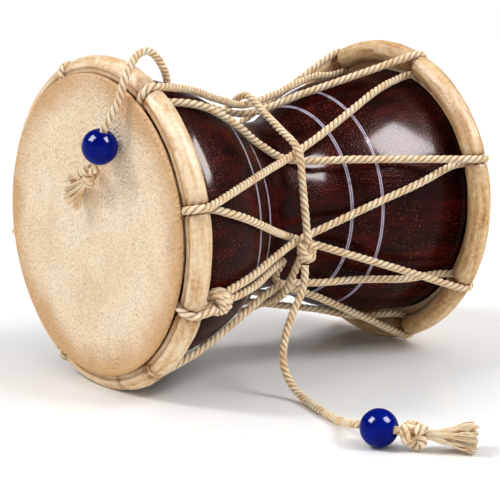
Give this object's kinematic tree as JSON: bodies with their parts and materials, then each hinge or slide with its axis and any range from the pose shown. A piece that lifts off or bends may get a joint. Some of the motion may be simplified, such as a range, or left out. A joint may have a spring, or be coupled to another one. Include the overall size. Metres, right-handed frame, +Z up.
{
  "type": "damaru drum",
  "caption": "Hourglass hand drum with two skin heads on hide-wrapped hoops, cord lacing drawn in at the waist, and corded strikers with beads and frayed ends.",
  "frame": {"origin": "middle of the drum's footprint, on the surface that the two hoops rest on", "axes": "+X along the drum's axis from the front head to the back head, +Z up; the long striker lies on the -Y side"},
  "size_m": [0.1982, 0.2576, 0.1544],
  "materials": {
    "lacquered_wood": "glossy dark red lacquer",
    "rawhide": "cream rawhide, stained tan at the edge",
    "hide_wrap": "cream hide, mottled tan",
    "cotton_cord": "twisted cotton",
    "blue_bead": "glossy"
  },
  "bodies": {
    "root": {"shell": "lacquered_wood", "head_front": "rawhide", "head_back": "rawhide", "hoop_front": "hide_wrap", "hoop_back": "hide_wrap", "lacing": "cotton_cord", "lacing_loop": "cotton_cord", "lacing_knot": "cotton_cord", "waist_cord": "cotton_cord", "waist_knot": "cotton_cord", "striker_cord_front": "cotton_cord", "bead_front": "blue_bead", "striker_knot_front": "cotton_cord", "tassel_front": "cotton_cord", "striker_cord_long": "cotton_cord", "bead_long": "blue_bead", "striker_knot_long": "cotton_cord", "tassel_long": "cotton_cord"}
  },
  "joints": []
}
